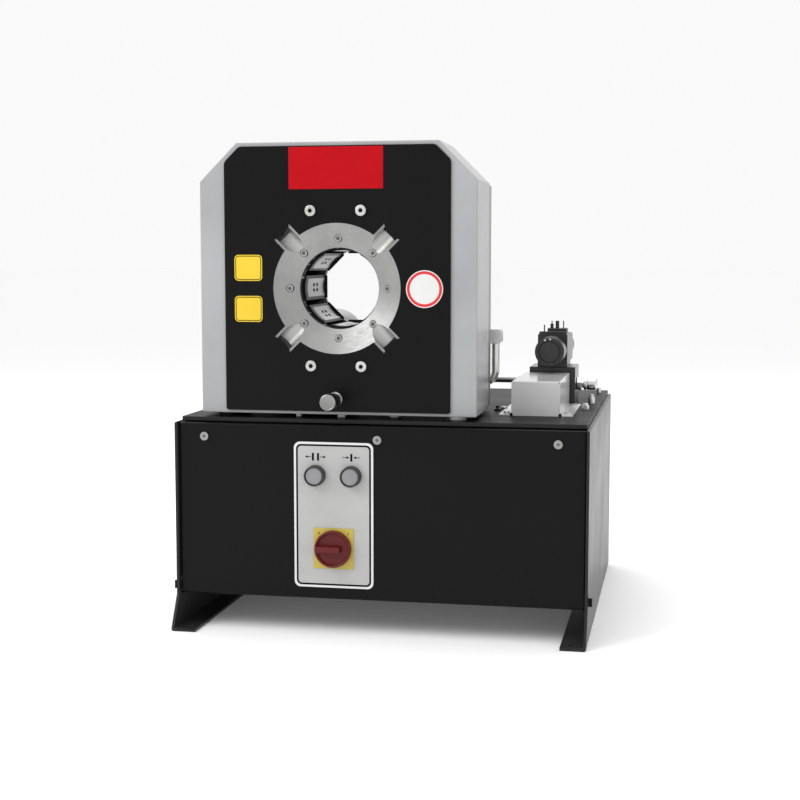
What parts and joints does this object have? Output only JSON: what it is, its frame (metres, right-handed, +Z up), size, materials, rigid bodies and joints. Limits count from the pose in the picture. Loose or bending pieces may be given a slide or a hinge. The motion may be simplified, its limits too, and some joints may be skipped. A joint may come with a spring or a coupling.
{
  "type": "hose crimping machine",
  "caption": "Electric hydraulic hose crimper: dies around an open bore in a steel head, on a low cabinet with oil tank, motor, valve and controls.",
  "frame": {"origin": "centre of the footprint, on the floor under the feet", "axes": "+X to the operator's right, +Y from the front to the back, along the crimping bore, +Z up"},
  "size_m": [0.62, 0.597, 0.7145],
  "materials": {
    "black_paint": "satin gloss powder coat",
    "light_grey_paint": "smooth satin paint",
    "dark_grey_paint": "satin paint",
    "machined_steel": "turned and milled, bright",
    "black_oxide": "black oxide, lightly oiled",
    "ground_steel": "ground",
    "zinc": "bright zinc plate",
    "tank_paint": "satin paint",
    "label_plate": "printed aluminium plate, satin",
    "black_plastic": "moulded, satin",
    "grey_plastic": "moulded, matte",
    "yellow_plastic": "moulded, satin",
    "red_plastic": "moulded, satin",
    "red_enamel": "enamelled plate",
    "yellow_enamel": "enamelled plate",
    "white_enamel": "enamelled plate",
    "motor_paint": "light grey machine paint",
    "cast_iron": "as cast",
    "cover_paint": "smooth light grey paint"
  },
  "bodies": {
    "machine": {"side_plate_left": "black_paint", "side_plate_right": "black_paint", "front_cover": "black_paint", "rear_cover": "black_paint", "oil_tank": "tank_paint", "drain_plug": "zinc", "lid_plate": "black_paint", "cabinet_screws": "black_oxide", "control_plate": "label_plate", "button_left_housing": "black_plastic", "button_right_housing": "black_plastic", "switch_plate": "yellow_plastic", "switch_body": "black_plastic", "contactor_unit": "grey_plastic", "motor_housing": "motor_paint", "gear_pump": "cast_iron", "suction_strainer": "zinc", "filler_neck": "zinc", "cable_gland": "black_plastic", "head_frame": "light_grey_paint", "head_rear_housing": "dark_grey_paint", "rear_screws": "black_oxide", "front_panel": "black_paint", "funnel_ring": "machined_steel", "ring_screws": "zinc", "guide_disc": "black_oxide", "panel_screws": "zinc", "rest_peg": "machined_steel", "badge_plate": "red_enamel", "tag_plates": "yellow_enamel", "tag_disc": "white_enamel", "head_feet": "black_oxide", "manifold_block": "black_oxide", "valve_body": "cast_iron", "valve_coils": "black_plastic", "valve_connector": "black_plastic", "pressure_tube": "zinc", "link_tube": "zinc", "tube_fittings": "zinc", "test_coupling": "zinc", "cable_cover": "cover_paint", "lid_plugs": "zinc"},
    "upper_yoke": {"yoke_upper": "ground_steel", "piston_upper": "ground_steel"},
    "lower_yoke": {"yoke_lower": "ground_steel", "piston_lower": "ground_steel"},
    "button_left": {"button_left_cap": "grey_plastic"},
    "button_right": {"button_right_cap": "grey_plastic"},
    "switch_knob": {"switch_knob": "red_plastic"},
    "spool": {"valve_spool": "ground_steel"},
    "filler_cap": {"filler_cap": "black_plastic"},
    "rotor": {"motor_rotor": "machined_steel"},
    "die_1": {"die_1": "black_oxide"},
    "die_2": {"die_2": "black_oxide"},
    "die_3": {"die_3": "black_oxide"},
    "die_4": {"die_4": "black_oxide"},
    "die_5": {"die_5": "black_oxide"},
    "die_6": {"die_6": "black_oxide"},
    "die_7": {"die_7": "black_oxide"},
    "die_8": {"die_8": "black_oxide"}
  },
  "joints": [
    {"name": "lower_yoke_slide", "type": "slide", "parent": "machine", "child": "lower_yoke", "axis": [0, 0, 1], "range_m": [0, 0.01]},
    {"name": "upper_yoke_slide", "type": "slide", "parent": "machine", "child": "upper_yoke", "axis": [0, 0, -1], "range_m": [0, 0.01]},
    {"name": "die_1_slide", "type": "slide", "parent": "machine", "child": "die_1", "axis": [-1, 0, 0], "range_m": [0, 0.01]},
    {"name": "die_2_slide", "type": "slide", "parent": "machine", "child": "die_2", "axis": [-0.7071, 0, -0.7071], "range_m": [0, 0.01]},
    {"name": "die_3_slide", "type": "slide", "parent": "machine", "child": "die_3", "axis": [0, 0, -1], "range_m": [0, 0.01]},
    {"name": "die_4_slide", "type": "slide", "parent": "machine", "child": "die_4", "axis": [0.7071, 0, -0.7071], "range_m": [0, 0.01]},
    {"name": "die_5_slide", "type": "slide", "parent": "machine", "child": "die_5", "axis": [1, 0, 0], "range_m": [0, 0.01]},
    {"name": "die_6_slide", "type": "slide", "parent": "machine", "child": "die_6", "axis": [0.7071, 0, 0.7071], "range_m": [0, 0.01]},
    {"name": "die_7_slide", "type": "slide", "parent": "machine", "child": "die_7", "axis": [0, 0, 1], "range_m": [0, 0.01]},
    {"name": "die_8_slide", "type": "slide", "parent": "machine", "child": "die_8", "axis": [-0.7071, 0, 0.7071], "range_m": [0, 0.01]},
    {"name": "button_left_press", "type": "slide", "parent": "machine", "child": "button_left", "axis": [0, 1, 0], "range_m": [0, 0.004], "stiffness_N_per_m": 700, "springref_m": -0.003},
    {"name": "button_right_press", "type": "slide", "parent": "machine", "child": "button_right", "axis": [0, 1, 0], "range_m": [0, 0.004], "stiffness_N_per_m": 700, "springref_m": -0.003},
    {"name": "switch_turn", "type": "hinge", "parent": "machine", "child": "switch_knob", "pos_m": [-0.065, -0.2735, 0.126], "axis": [0, 1, 0], "range_deg": [0, 90]},
    {"name": "spool_shift", "type": "slide", "parent": "machine", "child": "spool", "axis": [0, 1, 0], "range_m": [-0.003, 0.003], "stiffness_N_per_m": 3000},
    {"name": "filler_cap_turn", "type": "hinge", "parent": "machine", "child": "filler_cap", "pos_m": [0.06, 0.2065, 0.33], "axis": [0, 0, 1], "range_deg": [0, 60]},
    {"name": "rotor_spin", "type": "hinge", "parent": "machine", "child": "rotor", "pos_m": [-0.174, 0.0565, 0.3], "axis": [0, 0, 1], "continuous": true}
  ],
  "couplings": [
    {"joint": "upper_yoke_slide", "follows": "lower_yoke_slide", "ratio": 1},
    {"joint": "die_1_slide", "follows": "lower_yoke_slide", "ratio": 1},
    {"joint": "die_2_slide", "follows": "lower_yoke_slide", "ratio": 1},
    {"joint": "die_3_slide", "follows": "lower_yoke_slide", "ratio": 1},
    {"joint": "die_4_slide", "follows": "lower_yoke_slide", "ratio": 1},
    {"joint": "die_5_slide", "follows": "lower_yoke_slide", "ratio": 1},
    {"joint": "die_6_slide", "follows": "lower_yoke_slide", "ratio": 1},
    {"joint": "die_7_slide", "follows": "lower_yoke_slide", "ratio": 1},
    {"joint": "die_8_slide", "follows": "lower_yoke_slide", "ratio": 1}
  ]
}
